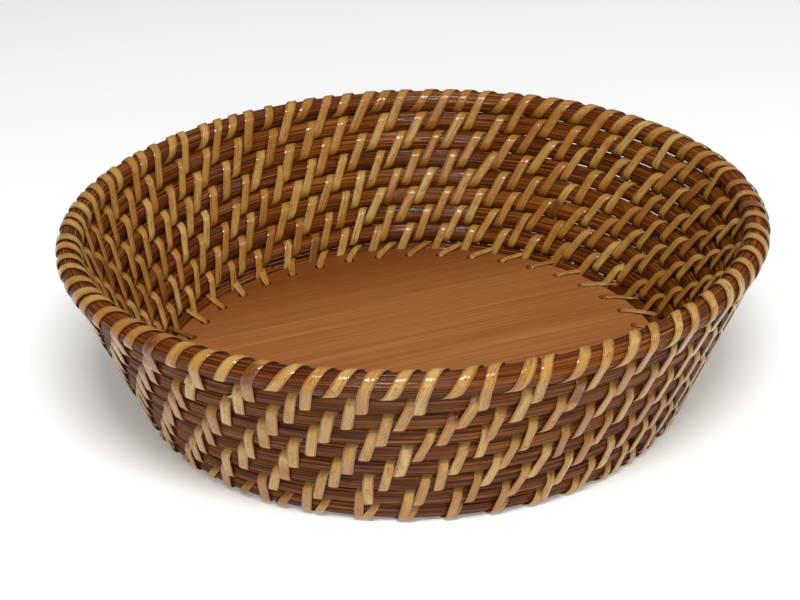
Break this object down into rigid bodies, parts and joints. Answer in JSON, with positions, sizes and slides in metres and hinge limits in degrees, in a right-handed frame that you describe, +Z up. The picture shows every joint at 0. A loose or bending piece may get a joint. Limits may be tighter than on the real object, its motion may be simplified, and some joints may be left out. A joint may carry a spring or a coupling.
{
  "type": "coiled oval basket",
  "caption": "Oval coiled rattan basket with sloping sides, light cane stitches over dark rods, a thicker wrapped rim and a flat drilled wooden floor.",
  "frame": {"origin": "centre of the surface that the basket stands on, under the middle of the oval", "axes": "+X along the longer axis of the oval, +Y along the shorter one, +Z up out of the basket's mouth"},
  "size_m": [0.3118, 0.2838, 0.083],
  "materials": {
    "floor_board": "satin",
    "stained_rattan": "satin",
    "cane": "gloss"
  },
  "bodies": {
    "root": {"base_board": "floor_board", "core_rod_1": "stained_rattan", "core_rod_2": "stained_rattan", "core_rod_3": "stained_rattan", "core_rod_4": "stained_rattan", "core_rod_5": "stained_rattan", "core_rod_6": "stained_rattan", "core_rod_7": "stained_rattan", "core_rod_8": "stained_rattan", "rim_rod": "stained_rattan", "base_lashing": "cane", "stitches_row_2": "cane", "stitches_row_3": "cane", "stitches_row_4": "cane", "stitches_row_5": "cane", "stitches_row_6": "cane", "stitches_row_7": "cane", "stitches_row_8": "cane", "rim_long_stitches": "cane", "rim_short_wraps": "cane"}
  },
  "joints": []
}
